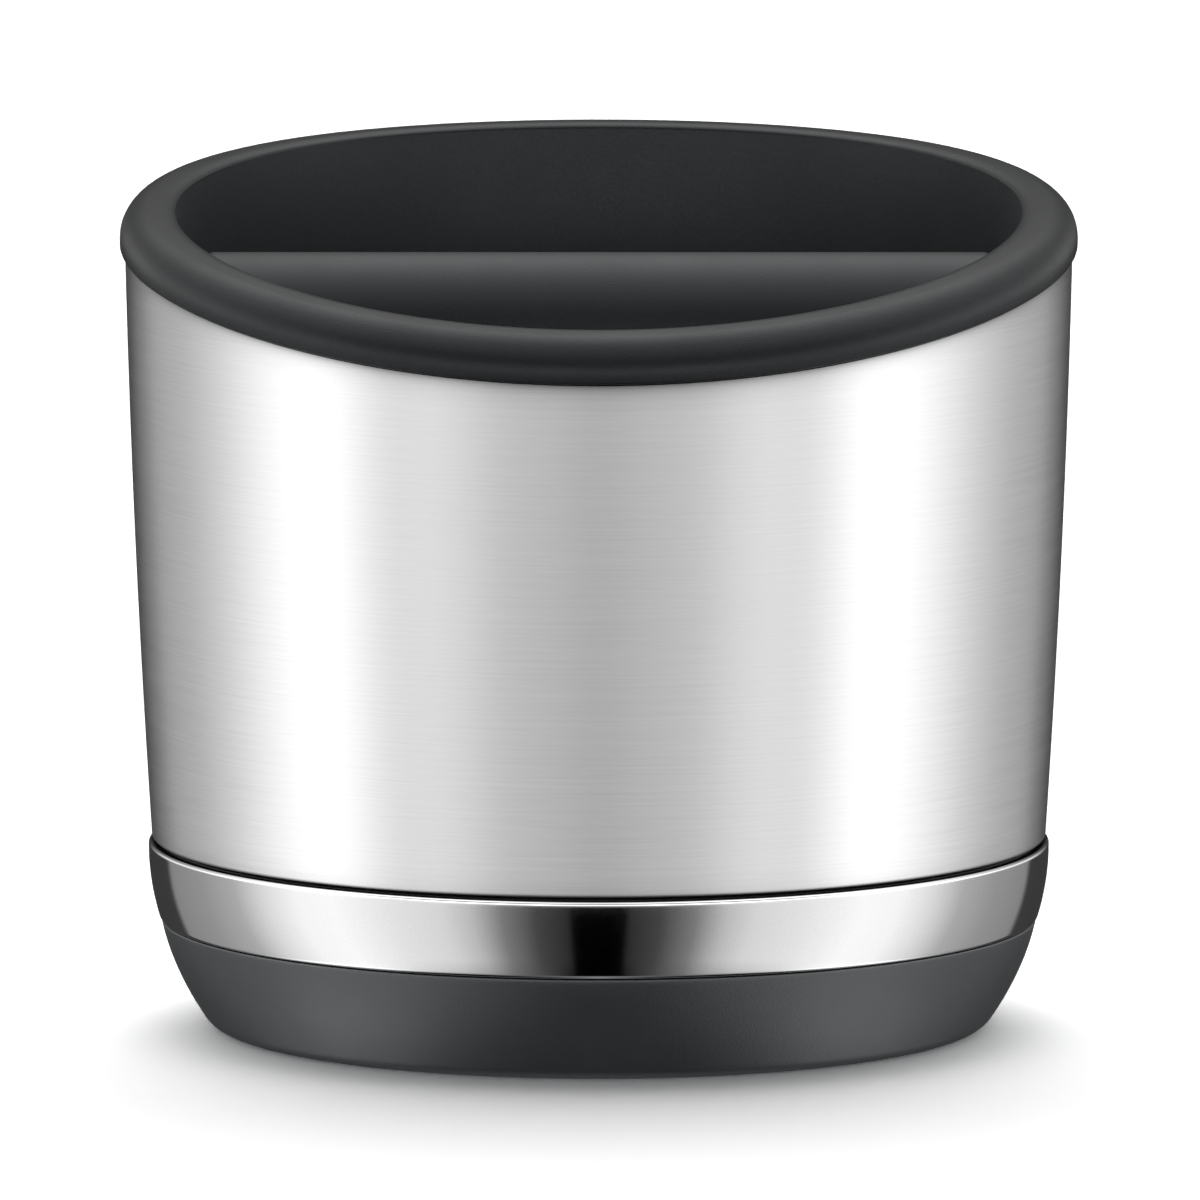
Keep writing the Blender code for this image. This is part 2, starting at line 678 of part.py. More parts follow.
def bush_mesh():
    """The right-hand bearing, about the bar's axis."""
    mesh = outline_mesh("bush_right", plate_outline(), PLATE_THICK / 2)
    mesh.transform(Matrix.Rotation(math.radians(90), 4, "X"))
    mesh.transform(Matrix.Rotation(math.radians(90), 4, "Z"))
    into_plate = PLATE_INNER_X + PLATE_THICK / 2
    mesh.transform(Matrix.Translation((into_plate, 0, 0)))
    plate = helper("bush_plate", mesh)
    hub_profile = [(0, into_plate), (HUB_R, into_plate), (HUB_R, HUB_END_X), (0, HUB_END_X)]
    hub = turned_helper("bush_hub", hub_profile, BAR_SEGMENTS)
    bore_r = JOURNAL_R + GAP
    seat_r = WASHER_R + GAP
    far = PLATE_OUTER_X + OVERRUN
    near = HUB_END_X - OVERRUN
    bore_profile = [(0, far), (seat_r, far), (seat_r, HUB_SEAT_X)]
    bore_profile += [(bore_r, HUB_SEAT_X), (bore_r, near), (0, near)]
    bore = turned_helper("bush_bore", bore_profile)
    for item in (hub, bore):
        item.data.transform(Matrix.Rotation(math.radians(90), 4, "Y"))
    combine(plate, hub, "UNION")
    combine(plate, bore)
    settle(plate)
    return plate.data


def on_both_ends(names, mesh, look, joint):
    """The same piece at the bar's right end, and turned half round at its left end."""
    for name, turn in zip(names, (0, 180)):
        item = part(name, mesh.copy(), look)
        item.location = (0, 0, BAR_AXIS_Z)
        item.rotation_euler = (0, 0, math.radians(turn))
        hang(item, joint)
        smooth(item)


def end_washer_mesh():
    hole_r = END_SCREW_R + GAP
    outer = WASHER_X + WASHER_THICK
    profile = [(hole_r, outer), (WASHER_R, outer), (WASHER_R, WASHER_X), (hole_r, WASHER_X)]
    washer = turned_helper("end_washer", profile)
    washer.data.transform(Matrix.Rotation(math.radians(90), 4, "Y"))
    return washer.data


def end_screw_mesh():
    """Button-head screw with a six-sided socket."""
    face = END_SCREW_X + END_SCREW_HEAD_HEIGHT
    edge = face - END_SCREW_EDGE
    tip = END_SCREW_X - END_SCREW_LENGTH
    profile = [(0, face), (END_SCREW_HEAD_R - END_SCREW_EDGE, face), (END_SCREW_HEAD_R, edge)]
    profile += [(END_SCREW_HEAD_R, END_SCREW_X), (END_SCREW_R, END_SCREW_X), (END_SCREW_R, tip), (0, tip)]
    screw = turned_helper("end_screw", profile)
    far = face + OVERRUN
    floor = face - SOCKET_DEPTH
    socket_profile = [(0, far), (SOCKET_R, far), (SOCKET_R, floor), (0, floor)]
    socket = turned_helper("end_socket", socket_profile, SOCKET_SIDES)
    combine(screw, socket)
    settle(screw)
    screw.data.transform(Matrix.Rotation(math.radians(90), 4, "Y"))
    return screw.data


clear_scene()
PARTS = collection("espresso_knock_box")
HELPERS = collection("helpers")

RIM_RUBBER = finish("rim_rubber", (0.017, 0.018, 0.019), 0.45)
BAR_RUBBER = finish("bar_rubber", (0.023, 0.024, 0.025), 0.45)
BASE_RUBBER = finish("base_rubber", (0.025, 0.026, 0.028), 0.40)
BLACK_RUBBER = finish("black_rubber", (0.012, 0.012, 0.013), 0.60)
BLACK_PLASTIC = finish("black_plastic", (0.020, 0.020, 0.022), 0.45)
LINER_PLASTIC = finish("liner_plastic", (0.018, 0.019, 0.020), 0.50)
BRUSHED_STEEL = finish("brushed_steel", (0.70, 0.70, 0.70), 0.42, 1.0)
POLISHED_STEEL = finish("polished_steel", (0.76, 0.76, 0.76), 0.08, 1.0)
ROD_STEEL = finish("rod_steel", (0.60, 0.60, 0.59), 0.28, 1.0)
SCREW_STEEL = finish("screw_steel", (0.55, 0.55, 0.55), 0.25, 1.0)

rim_bumper()
steel_shell()
shell_gasket()
trim_ring()
base_boot()
base_carrier()
carrier_screws()
inner_liner()

LIFT = empty("bar_lift", BAR_AXIS_Z)
TURN = empty("bar_turn", BAR_AXIS_Z)
hang(TURN, LIFT)
on_both_ends(("bush_right", "bush_left"), bush_mesh(), BLACK_PLASTIC, LIFT)
bar_rod(TURN)
bar_sleeve(TURN)
on_both_ends(("end_washer_right", "end_washer_left"), end_washer_mesh(), SCREW_STEEL, TURN)
on_both_ends(("end_screw_right", "end_screw_left"), end_screw_mesh(), SCREW_STEEL, TURN)
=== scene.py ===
"""Looks of the espresso knock box: its finishes, the studio around it and the photograph's camera.

Metres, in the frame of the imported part: +Z up, the front at -Y and the knock bar along X.
"""

import json
import math

import bmesh
import bpy
from mathutils import Matrix, Vector

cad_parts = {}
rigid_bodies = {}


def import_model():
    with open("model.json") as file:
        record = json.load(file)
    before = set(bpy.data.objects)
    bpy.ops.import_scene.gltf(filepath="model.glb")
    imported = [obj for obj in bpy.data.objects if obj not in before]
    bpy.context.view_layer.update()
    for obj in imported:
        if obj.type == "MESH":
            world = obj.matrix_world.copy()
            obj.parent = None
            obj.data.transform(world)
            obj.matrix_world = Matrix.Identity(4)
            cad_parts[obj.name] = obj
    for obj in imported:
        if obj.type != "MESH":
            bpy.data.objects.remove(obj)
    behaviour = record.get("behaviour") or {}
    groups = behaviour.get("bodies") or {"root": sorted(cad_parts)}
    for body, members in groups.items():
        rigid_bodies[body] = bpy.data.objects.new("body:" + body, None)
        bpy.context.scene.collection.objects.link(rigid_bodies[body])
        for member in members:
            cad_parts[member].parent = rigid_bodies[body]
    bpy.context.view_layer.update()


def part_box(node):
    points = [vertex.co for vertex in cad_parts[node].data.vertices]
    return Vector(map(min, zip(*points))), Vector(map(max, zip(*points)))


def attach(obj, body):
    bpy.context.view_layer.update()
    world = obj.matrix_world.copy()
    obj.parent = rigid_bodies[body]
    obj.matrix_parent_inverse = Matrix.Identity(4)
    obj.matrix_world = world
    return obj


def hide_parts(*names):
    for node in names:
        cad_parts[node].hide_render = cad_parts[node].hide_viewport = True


for item in list(bpy.data.objects):
    bpy.data.objects.remove(item, do_unlink=True)

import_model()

# Clearances and counts
GAP = 0.0003
OVERRUN = 0.002
TURN_STEPS = 256
BAR_STEPS = 128
SMALL_STEPS = 64
ARC_STEPS = 14
SMALL_ARC_STEPS = 6
EDGE_ARC_STEPS = 4
WALL_STEPS = 24
EDGE_SEGMENTS = 3
SHARP_ANGLE = 40

# Rubber rim
RIM_OUTER_R = 0.06204
RIM_OPENING_R = 0.05484
RIM_LEVEL = 0.1033
RIM_RISE = 0.00376
RIM_ROUND = 0.00396
RIM_NOSE_WIDTH = 0.0020
RIM_NOSE_DROP = 0.0007
RIM_LIP_DROP = 0.00138
RIM_LIP_ROUND = 0.0004
RIM_SKIRT_DROP = 0.0050
RIM_SLANT = 0.0078
RIM_CROWN = 0.0031
LEAN_DEPTH = 0.0383

# Steel sleeve
SHELL_TOP_R = 0.0614
SHELL_FOOT_R = 0.05803
SHELL_FOOT_Z = 0.0247
SHELL_BOW = 0.00043
SHELL_WALL = 0.0007
SHELL_HEM_ROUND = 0.0005
SHELL_HEM_WIDTH = 0.0030

# Trim ring
RING_TOP_R = 0.05848
RING_FOOT_R = 0.05715
RING_TOP_Z = 0.0243
RING_FOOT_Z = 0.0140
RING_BOW = 0.00035
RING_WALL = 0.0009
RING_TOP_ROUND = 0.0005
RING_FOOT_ROUND = 0.00085
RING_FLANGE_WIDTH = 0.0022

# Rubber base
BOOT_TOP_R = 0.05678
BOOT_FOOT_R = 0.0502
BOOT_TOP_Z = 0.0137
BOOT_BOW = 0.0009
BOOT_WALL = 0.0030
BOOT_EDGE_ROUND = 0.0002
BOOT_FOOT_ROUND = 0.0035
BOOT_SOLE = 0.0025
SOLE_INNER_R = 0.0370
SOLE_EDGE_ROUND = 0.0004

# Gasket, and the carrier inside the base
GASKET_THICK = 0.0010
GASKET_WIDTH = 0.0030
GASKET_EDGE = 0.0002
CARRIER_WALL = 0.0020
CARRIER_SHELF = 0.0014
CARRIER_RECESS = 0.0015
CARRIER_EDGE = 0.0003
CARRIER_BOSS_R = 0.0060
CARRIER_BOSS_RISE = 0.0028

# Base screws, with crossed slots
SCREW_NUMBERS = range(1, 5)
SCREW_HEAD_R = 0.0030
SCREW_HEAD_HEIGHT = 0.0020
SCREW_HEAD_ROUND = 0.0006
SCREW_SHANK_R = 0.0013
SCREW_TIP = 0.0015
CROSS_WIDTH = 0.0008
CROSS_REACH = 0.0018
CROSS_DEPTH = 0.0012
CROSS_EDGE = 0.0001

# Inner bin
LINER_TOP_R = 0.05499
LINER_FOOT_R = 0.0512
LINER_BOW = 0.0008
LINER_WALL = 0.0020
LINER_CORNER_ROUND = 0.0060
LINER_FLANGE_R = 0.05804
LINER_FLOOR_Z = 0.0140

# Knock bar and the cradles for its bearings
BAR_DEPTH = 0.0135
BAR_R = 0.0110
BAR_END_ROUND = 0.0015
BAR_SEAT_DEPTH = 0.0063
PLATE_HALF_WIDTH = 0.0075
CRADLE_ARM = 0.0032
CRADLE_RISE = 0.0022
CRADLE_FLOOR = 0.0022
CRADLE_GUSSET = 0.0053
CRADLE_EDGE = 0.0004

# End bearings, washers and screws of the knock bar
PLATE_THICK = 0.0020
PLATE_DROP = 0.0085
PLATE_CORNER = 0.0015
PLATE_EDGE = 0.0003
HUB_R = 0.0072
HUB_SEAT_DEPTH = 0.0012
JOURNAL_R = 0.0040
WASHER_EDGE = 0.00015
END_SCREW_R = 0.0017
END_SCREW_HEAD_HEIGHT = 0.0013
END_SCREW_EDGE = 0.0004
SOCKET_R = 0.0015
SOCKET_DEPTH = 0.0008
SOCKET_SIDES = 6
SOCKET_EDGE = 0.0001

# Grain: the part of the noise that is used, and how far colour and gloss follow it
NOISE_LIMITS = (0.3, 0.7)
NOISE_ROUGHNESS = 0.6
CLOUDS = 90.0
RUBBER_GRAIN = 4200.0
MOULDED_MOTTLE = 0.25
MOULDED_HAZE = 0.05
BRUSHED_MOTTLE = 0.06
BRUSHED_HAZE = 0.04
POLISHED_MOTTLE = 0.03
POLISHED_HAZE = 0.25

# Scratches beside the brushed lines: their width, length and depth, and the way round that they run
SCRATCH_WIDTH = 2
SCRATCH_LENGTH = 4
SCRATCH_DEPTH = 2
ROUND_THE_AXIS = 0.25

# The painted shade close under edges, darkening the metals' colour
SHADE_REACH = 0.004
RING_SHADE_REACH = 0.0012
SHADE_STRENGTH = 3.0
SHADE_SAMPLES = 16

# The faint blue of dark rubber's gloss
COOL_TINT = (0.92, 0.965, 1.0, 1.0)

# Heights that follow
RIM_TOP = RIM_LEVEL + RIM_RISE
RIM_LIP_Z = RIM_LEVEL - RIM_LIP_DROP
SHELL_TOP_Z = RIM_LIP_Z - GAP
NOSE_Z = RIM_TOP - RIM_NOSE_DROP
FLANGE_TOP = NOSE_Z - GAP
FLANGE_UNDER = FLANGE_TOP - LINER_WALL
LEAN_FULL = RIM_LEVEL - RIM_SKIRT_DROP
LEAN_FOOT = LEAN_FULL - LEAN_DEPTH
LINER_FOOT_Z = LINER_FLOOR_Z + LINER_CORNER_ROUND
LINER_UNDER_Z = LINER_FLOOR_Z - LINER_WALL
GASKET_TOP_Z = SHELL_FOOT_Z - GAP
COLLAR_TOP_Z = GASKET_TOP_Z - GASKET_THICK - GAP
CARRIER_TOP_Z = BOOT_SOLE + GAP + CARRIER_SHELF
CARRIER_BOSS_TOP = CARRIER_TOP_Z + CARRIER_BOSS_RISE
BAR_AXIS_Z = RIM_LEVEL - BAR_DEPTH

# The photograph's camera, far away with a long lens
CAMERA_PLACE = (0.0, -3.0, 0.4525)
CAMERA_TILT = 82.46
CAMERA_LENS = 699.51
CAMERA_SENSOR = 36.0
CAMERA_SHIFT_X = 0.001

# Light
TOP_LIGHT_PLACE = (0.0, 0.70, 1.25)
TOP_LIGHT_SIZE = (1.3, 1.0)
TOP_LIGHT_POWER = 2.0
FLOOR_HALF_WIDTH = 1.6
FLOOR_FRONT = -1.6
FLOOR_BACK = 2.2
FLOOR_COLOUR = 0.80
FLOOR_SEEN_COLOUR = 1.56

# The studio's light on plain surfaces: an angle in degrees from the front round to the back, and a level
SOFT_LIGHT = [(0.0, 0.13), (45.0, 0.13), (90.0, 0.36), (135.0, 1.36), (180.0, 2.35)]
SOFT_LIGHT_RISE = (-12.0, 5.0)
UNDER_LIGHT = 1.0

# What gloss and metal reflect, in one row of such angles and levels for each height above the horizon:
# a dark flag under the camera, light walls, two tall soft lights at the sides and darkness behind
STUDIO_PEAK = 4.0
GROUND_STUDIO = [(0.0, 0.3), (30.0, 0.1), (60.0, 0.0), (120.0, 0.0), (180.0, 0.4)]
STEEP_STUDIO = [
    (0.0, 0.0),
    (7.0, 0.0),
    (25.0, 0.15),
    (55.0, 0.7),
    (84.0, 2.2),
    (108.0, 1.6),
    (140.0, 0.3),
    (180.0, 0.05),
]
LOW_STUDIO = [
    (0.0, 0.0),
    (6.9, 0.0),
    (7.6, 0.03),
    (16.0, 0.07),
    (25.0, 0.24),
    (33.0, 0.63),
    (41.0, 0.86),
    (55.0, 1.0),
    (72.0, 1.25),
    (84.0, 1.2),
    (96.0, 0.9),
    (108.0, 0.51),
    (124.0, 0.36),
    (143.0, 0.28),
    (146.0, 0.05),
    (180.0, 0.04),
]
SIDE_STUDIO = [
    (0.0, 3.05),
    (12.0, 3.7),
    (27.0, 3.5),
    (42.0, 3.35),
    (52.0, 1.9),
    (58.0, 2.4),
    (67.0, 3.7),
    (76.0, 3.85),
    (85.0, 3.4),
    (96.0, 2.8),
    (108.0, 2.2),
    (121.0, 1.5),
    (138.0, 1.2),
    (146.0, 1.0),
    (151.0, 0.75),
    (157.0, 0.36),
    (166.0, 0.08),
    (180.0, 0.0),
]
UPPER_STUDIO = [
    (0.0, 1.2),
    (40.0, 1.2),
    (60.0, 1.4),
    (80.0, 1.9),
    (100.0, 1.7),
    (125.0, 0.9),
    (150.0, 0.3),
    (180.0, 0.1),
]
HIGH_STUDIO = [
    (0.0, 0.0),
    (40.0, 0.0),
    (60.0, 0.35),
    (80.0, 1.1),
    (100.0, 1.3),
    (125.0, 0.9),
    (150.0, 0.7),
    (180.0, 0.8),
]
TOP_STUDIO = [(0.0, 1.25), (60.0, 1.9), (125.0, 2.2), (180.0, 2.0)]
STUDIO = [
    (-64.0, GROUND_STUDIO),
    (-46.0, STEEP_STUDIO),
    (-34.0, LOW_STUDIO),
    (-7.0, LOW_STUDIO),
    (5.0, SIDE_STUDIO),
    (20.0, UPPER_STUDIO),
    (30.0, HIGH_STUDIO),
    (60.0, TOP_STUDIO),
]


def arc(centre_r, centre_z, radius, start, end, steps=ARC_STEPS):
    """Points of a profile on a circle between two angles, in degrees up from the outward direction."""
    turns = [math.radians(start + (end - start) * i / steps) for i in range(steps + 1)]
    return [(centre_r + radius * math.cos(a), centre_z + radius * math.sin(a)) for a in turns]


def bowed(low, high, bow, share):
    """A size that goes from low to high and swells by bow half way."""
    return low + (high - low) * share + 4 * bow * share * (1 - share)


def heights(low, high, steps=WALL_STEPS):
    return [low + (high - low) * i / steps for i in range(steps + 1)]


def shell_radius(height):
    share = (height - SHELL_FOOT_Z) / (RIM_LEVEL - SHELL_FOOT_Z)
    return bowed(SHELL_FOOT_R, SHELL_TOP_R, SHELL_BOW, share)


def liner_radius(height):
    share = (height - LINER_FOOT_Z) / (FLANGE_TOP - LINER_FOOT_Z)
    return bowed(LINER_FOOT_R, LINER_TOP_R, LINER_BOW, share)


def boot_radius(height):
    return bowed(BOOT_FOOT_R, BOOT_TOP_R, BOOT_BOW, height / BOOT_TOP_Z)


def slant(y):
    """How far the rim stands above its level at this depth: high at the back, low at the front."""
    share = y / RIM_OUTER_R
    return RIM_SLANT * share - RIM_CROWN * share * share


def leaned(point, radius_at):
    """Where a point of a turned piece lies once the piece is slanted as the rim is."""
    x, y, z = point
    share = min(max((z - LEAN_FOOT) / (LEAN_FULL - LEAN_FOOT), 0), 1)
    lifted = z + slant(y) * share
    radius = math.hypot(x, y)
    if radius_at and share > 0:
        grown = (radius + radius_at(lifted) - radius_at(z)) / radius
        x, y = x * grown, y * grown
    return x, y, lifted


def turned(name, profile, steps=TURN_STEPS, along="Z", leans=False, radius_at=None):
    """A closed solid of revolution with shared corners, from a profile that runs down its outer side."""
    made = bmesh.new()
    rings = []
    for radius, height in profile:
        if radius == 0:
            rings.append([made.verts.new((0, 0, height))] * steps)
            continue
        ring = []
        for i in range(steps):
            turn = 2 * math.pi * i / steps
            place = (radius * math.cos(turn), radius * math.sin(turn), height)
            ring.append(made.verts.new(leaned(place, radius_at) if leans else place))
        rings.append(ring)
    pairs = list(zip(rings, rings[1:]))
    if profile[0][0] > 0:
        pairs.append((rings[-1], rings[0]))
    for upper, lower in pairs:
        for i in range(steps):
            corners = [upper[i], lower[i], lower[i - steps + 1], upper[i - steps + 1]]
            made.faces.new(list(dict.fromkeys(corners)))
    bmesh.ops.recalc_face_normals(made, faces=made.faces)
    mesh = bpy.data.meshes.new(name)
    made.to_mesh(mesh)
    made.free()
    if along == "X":
        mesh.transform(Matrix.Rotation(math.radians(90), 4, "Y"))
    return placed(name, mesh)


def placed(name, mesh):
    """A piece of the scene with soft shading and crisp edges."""
    mesh.shade_smooth()
    mesh.set_sharp_from_angle(angle=math.radians(SHARP_ANGLE))
    item = bpy.data.objects.new(name, mesh)
    bpy.context.scene.collection.objects.link(item)
    return item


def dress(item, look, slot, body, *nodes):
    """Gives a new piece its finish, its body and the nodes that it stands for."""
    item.data.materials.clear()
    item.data.materials.append(look)
    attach(item, body)
    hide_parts(*nodes)


def node(tree, kind, inputs=None, **settings):
    """Adds a shader node. An input that is a socket is linked, and any other is set."""
    made = tree.nodes.new(kind)
    for key, value in settings.items():
        setattr(made, key, value)
    for key, value in (inputs or {}).items():
        if isinstance(value, bpy.types.NodeSocket):
            tree.links.new(value, made.inputs[key])
        else:
            made.inputs[key].default_value = value
    return made


def worked(tree, operation, *values):
    """What a maths node makes of one or two values."""
    made = node(tree, "ShaderNodeMath", dict(enumerate(values)), operation=operation)
    return made.outputs["Value"]


def grey(level):
    return (level, level, level, 1)


def tinted(colour, factor):
    return tuple(min(part * factor, 1) for part in colour) + (1.0,)


def principled(name, roughness, metallic=0.0):
    made = bpy.data.materials.new(name)
    made.use_nodes = True
    shader = made.node_tree.nodes["Principled BSDF"]
    shader.inputs["Roughness"].default_value = roughness
    shader.inputs["Metallic"].default_value = metallic
    return made, made.node_tree, shader


def noise(tree, scale, detail=3.0, stretch=(1, 1, 1)):
    """Noise in the object's own space, in features per metre, longer where stretch is small."""
    place = node(tree, "ShaderNodeTexCoord").outputs["Object"]
    spread = node(tree, "ShaderNodeMapping", {"Vector": place, "Scale": stretch})
    made = node(
        tree,
        "ShaderNodeTexNoise",
        {
            "Vector": spread.outputs["Vector"],
            "Scale": scale,
            "Detail": detail,
            "Roughness": NOISE_ROUGHNESS,
        },
    )
    return made.outputs["Fac"]


def varied(tree, factor, low, high):
    """A number that follows noise between two values."""
    first, last = NOISE_LIMITS
    limits = {"From Min": first, "From Max": last, "To Min": low, "To Max": high}
    return node(tree, "ShaderNodeMapRange", {"Value": factor, **limits}).outputs["Result"]


def coloured(tree, factor, colour, spread):
    """A colour that noise makes a little darker and lighter."""
    made = node(tree, "ShaderNodeValToRGB", {"Fac": factor})
    dark, light = made.color_ramp.elements
    dark.position, light.position = NOISE_LIMITS
    dark.color = tinted(colour, 1 - spread)
    light.color = tinted(colour, 1 + spread)
    return made.outputs["Color"]


def with_painted_shade(tree, colour, reach):
    """A colour darkened softly close under an edge: painted shade, as deep as nearby parts occlude it.
    """
    near = node(tree, "ShaderNodeAmbientOcclusion", {"Distance": reach}, samples=SHADE_SAMPLES)
    # Painted shade: the occluded share darkens the colour towards black.
    share = worked(tree, "POWER", near.outputs["AO"], SHADE_STRENGTH)
    return blended(tree, share, grey(0), colour)


def relief(tree, height, depth, normal=None):
    inputs = {"Height": height, "Distance": depth, "Strength": 1.0}
    if normal:
        inputs["Normal"] = normal
    return node(tree, "ShaderNodeBump", inputs).outputs["Normal"]


def moulded(name, colour, roughness, grain, depth, gloss=0.5):
    """Moulded rubber or plastic: a fine grain, and soft clouds in its colour and gloss."""
    made, tree, shader = principled(name, roughness)
    shader.inputs["Specular IOR Level"].default_value = gloss
    shader.inputs["Specular Tint"].default_value = COOL_TINT
    fine = noise(tree, grain, detail=4.0)
    clouds = noise(tree, CLOUDS)
    mean = worked(tree, "MULTIPLY", worked(tree, "ADD", fine, clouds), 0.5)
    haze = varied(tree, mean, roughness + MOULDED_HAZE, roughness - MOULDED_HAZE)
    tree.links.new(coloured(tree, mean, colour, MOULDED_MOTTLE), shader.inputs["Base Color"])
    tree.links.new(haze, shader.inputs["Roughness"])
    tree.links.new(relief(tree, fine, depth), shader.inputs["Normal"])
    return made


def axial(axis, factor):
    """A scale that acts along one axis only."""
    return tuple(factor if letter == axis else 1.0 for letter in "XYZ")


def brushed(name, colour, roughness, axis, along, across, depth, anisotropy):
    """Steel brushed round its axis, with long fine lines, a few that stand out, and painted shade close
    under edges.
    """
    made, tree, shader = principled(name, roughness, 1.0)
    ratio = across / along
    lines = noise(tree, along, 5.0, axial(axis, ratio))
    scratches = noise(tree, along / SCRATCH_WIDTH, 2.0, axial(axis, ratio / SCRATCH_LENGTH))
    # The steel's colour carries painted shade close under edges, such as under the rim.
    bright = with_painted_shade(tree, coloured(tree, lines, colour, BRUSHED_MOTTLE), SHADE_REACH)
    haze = varied(tree, lines, roughness - BRUSHED_HAZE, roughness + BRUSHED_HAZE)
    normal = relief(tree, scratches, depth * SCRATCH_DEPTH, relief(tree, lines, depth))
    tree.links.new(bright, shader.inputs["Base Color"])
    tree.links.new(haze, shader.inputs["Roughness"])
    tree.links.new(normal, shader.inputs["Normal"])
    shader.inputs["Anisotropic"].default_value = anisotropy
    shader.inputs["Anisotropic Rotation"].default_value = ROUND_THE_AXIS
    tangent = node(tree, "ShaderNodeTangent", direction_type="RADIAL", axis=axis)
    tree.links.new(tangent.outputs["Tangent"], shader.inputs["Tangent"])
    return made


def polished(name, colour, roughness, grain):
    """Bright steel with a faint satin haze, and painted shade close under edges."""
    made, tree, shader = principled(name, roughness, 1.0)
    fine = noise(tree, grain)
    # The colour carries painted shade close under edges, which dulls the ring's top edge and darkens its
    # foot.
    bright = with_painted_shade(tree, coloured(tree, fine, colour, POLISHED_MOTTLE), RING_SHADE_REACH)
    haze = varied(tree, fine, roughness * (1 - POLISHED_HAZE), roughness * (1 + POLISHED_HAZE))
    tree.links.new(bright, shader.inputs["Base Color"])
    tree.links.new(haze, shader.inputs["Roughness"])
    return made


def rim_piece():
    nose_r = RIM_OPENING_R + RIM_NOSE_WIDTH
    nose = arc(0, 0, 1, 180, 90)
    groove_r = LINER_FLANGE_R + GAP
    skirt_r = shell_radius(LEAN_FULL + slant(-RIM_OUTER_R)) - SHELL_WALL - GAP
    skirt_inner_r = LINER_TOP_R + LINER_WALL + GAP
    profile = [(nose_r + RIM_NOSE_WIDTH * across, NOSE_Z + RIM_NOSE_DROP * up) for across, up in nose]
    profile += arc(RIM_OUTER_R - RIM_ROUND, RIM_TOP - RIM_ROUND, RIM_ROUND, 90, 0)
    lip = (RIM_OUTER_R - RIM_LIP_ROUND, RIM_LIP_Z + RIM_LIP_ROUND)
    profile += arc(*lip, RIM_LIP_ROUND, 0, -90, SMALL_ARC_STEPS)
    profile += [
        (skirt_r, RIM_LIP_Z),
        (skirt_r, LEAN_FULL),
        (skirt_inner_r, LEAN_FULL),
        (skirt_inner_r, FLANGE_UNDER - GAP),
        (groove_r, FLANGE_UNDER - GAP),
        (groove_r, NOSE_Z),
        (LINER_TOP_R, NOSE_Z),
    ]
    return turned("soft_rim", profile, leans=True)


def sleeve_piece():
    hem_r = shell_radius(SHELL_FOOT_Z + SHELL_HEM_ROUND)
    hem_inner_r = SHELL_FOOT_R - SHELL_HEM_WIDTH
    levels = heights(SHELL_TOP_Z, SHELL_FOOT_Z + SHELL_HEM_ROUND)
    profile = [(shell_radius(z), z) for z in levels[:-1]]
    profile += arc(hem_r - SHELL_HEM_ROUND, levels[-1], SHELL_HEM_ROUND, 0, -90, SMALL_ARC_STEPS)
    profile += [(hem_inner_r, SHELL_FOOT_Z), (hem_inner_r, SHELL_FOOT_Z + SHELL_WALL)]
    inner = heights(SHELL_FOOT_Z + SHELL_WALL, SHELL_TOP_Z)
    profile += [(shell_radius(z) - SHELL_WALL, z) for z in inner]
    return turned("brushed_sleeve", profile, leans=True, radius_at=shell_radius)


def gasket_piece():
    outer_r = RING_TOP_R - RING_WALL - 2 * GAP
    inner_r = outer_r - GASKET_WIDTH
    low = GASKET_TOP_Z - GASKET_THICK
    edge_r = outer_r - GASKET_EDGE
    profile = arc(edge_r, GASKET_TOP_Z - GASKET_EDGE, GASKET_EDGE, 90, 0, EDGE_ARC_STEPS)
    profile += arc(edge_r, low + GASKET_EDGE, GASKET_EDGE, 0, -90, EDGE_ARC_STEPS)
    profile += [(inner_r, low), (inner_r, GASKET_TOP_Z)]
    return turned("gasket_ring", profile)


def ring_piece():
    """The polished band. Its foot rolls under from the slope of its side."""
    lean = math.atan((RING_TOP_R - RING_FOOT_R + 4 * RING_BOW) / (RING_TOP_Z - RING_FOOT_Z))
    top = RING_TOP_Z - RING_TOP_ROUND
    foot = RING_FOOT_Z + RING_FOOT_ROUND * (1 - math.sin(lean))
    foot_r = RING_FOOT_R - RING_FOOT_ROUND * math.cos(lean)
    shares = [((z - foot) / (top - foot), z) for z in heights(top, foot)]
    profile = [(RING_TOP_R - RING_WALL, RING_TOP_Z)]
    profile += arc(RING_TOP_R - RING_TOP_ROUND, top, RING_TOP_ROUND, 90, 0)[:-1]
    profile += [(bowed(RING_FOOT_R, RING_TOP_R, RING_BOW, share), z) for share, z in shares[:-1]]
    profile += arc(foot_r, RING_FOOT_Z + RING_FOOT_ROUND, RING_FOOT_ROUND, -math.degrees(lean), -90)
    flange_r = RING_FOOT_R - RING_FLANGE_WIDTH
    profile += [
        (flange_r, RING_FOOT_Z),
        (flange_r, RING_FOOT_Z + RING_WALL),
        (RING_FOOT_R - RING_WALL, RING_FOOT_Z + RING_WALL),
        (RING_TOP_R - RING_WALL, top),
    ]
    return turned("polished_ring", profile)


